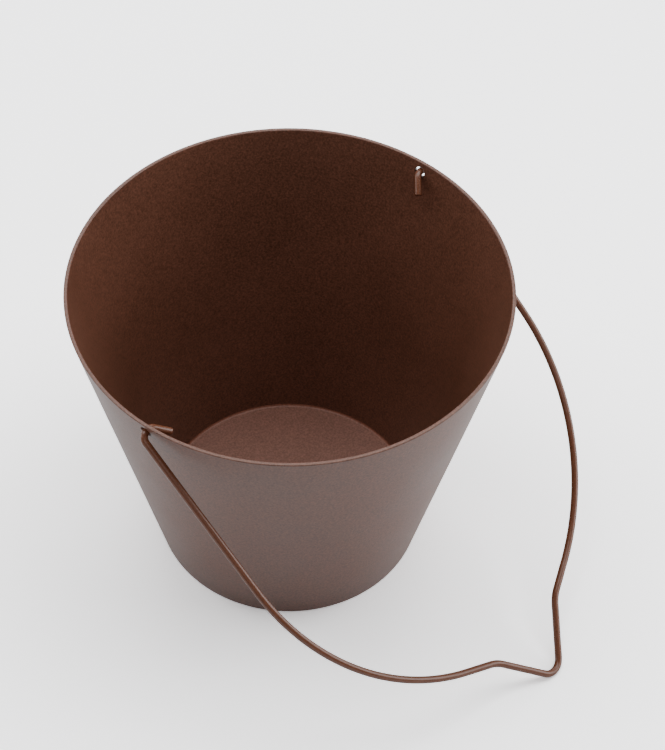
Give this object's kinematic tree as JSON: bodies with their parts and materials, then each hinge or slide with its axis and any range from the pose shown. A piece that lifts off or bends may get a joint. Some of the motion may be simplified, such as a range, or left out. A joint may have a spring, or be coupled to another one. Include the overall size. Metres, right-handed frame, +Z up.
{
  "type": "florist bucket",
  "caption": "Tapered round steel bucket with a flat welded base and a swinging wire bail that has a V in its grip and hooked ends.",
  "frame": {"origin": "centre of the flat bottom face, on the surface the bucket stands on", "axes": "+Z up along the bucket's axis, X along the bail's hinge axis, the bail lying towards -Y at rest"},
  "size_m": [0.2592, 0.324, 0.2],
  "materials": {
    "wall_coat": "brown powder coat, fine sand grain, satin",
    "base_coat": "brown powder coat, fine sand grain, satin",
    "bead_coat": "brown powder coat over a smooth bead, satin",
    "bail_coat": "brown powder coat on wire, satin"
  },
  "bodies": {
    "bucket": {"wall_shell": "wall_coat", "base_plate": "base_coat", "corner_bead": "bead_coat"},
    "bail": {"bail_handle": "bail_coat"}
  },
  "joints": [
    {"name": "bail_swing", "type": "hinge", "parent": "bucket", "child": "bail", "pos_m": [0, 0, 0.1935], "axis": [-1, 0, 0], "range_deg": [0, 268.2]}
  ]
}
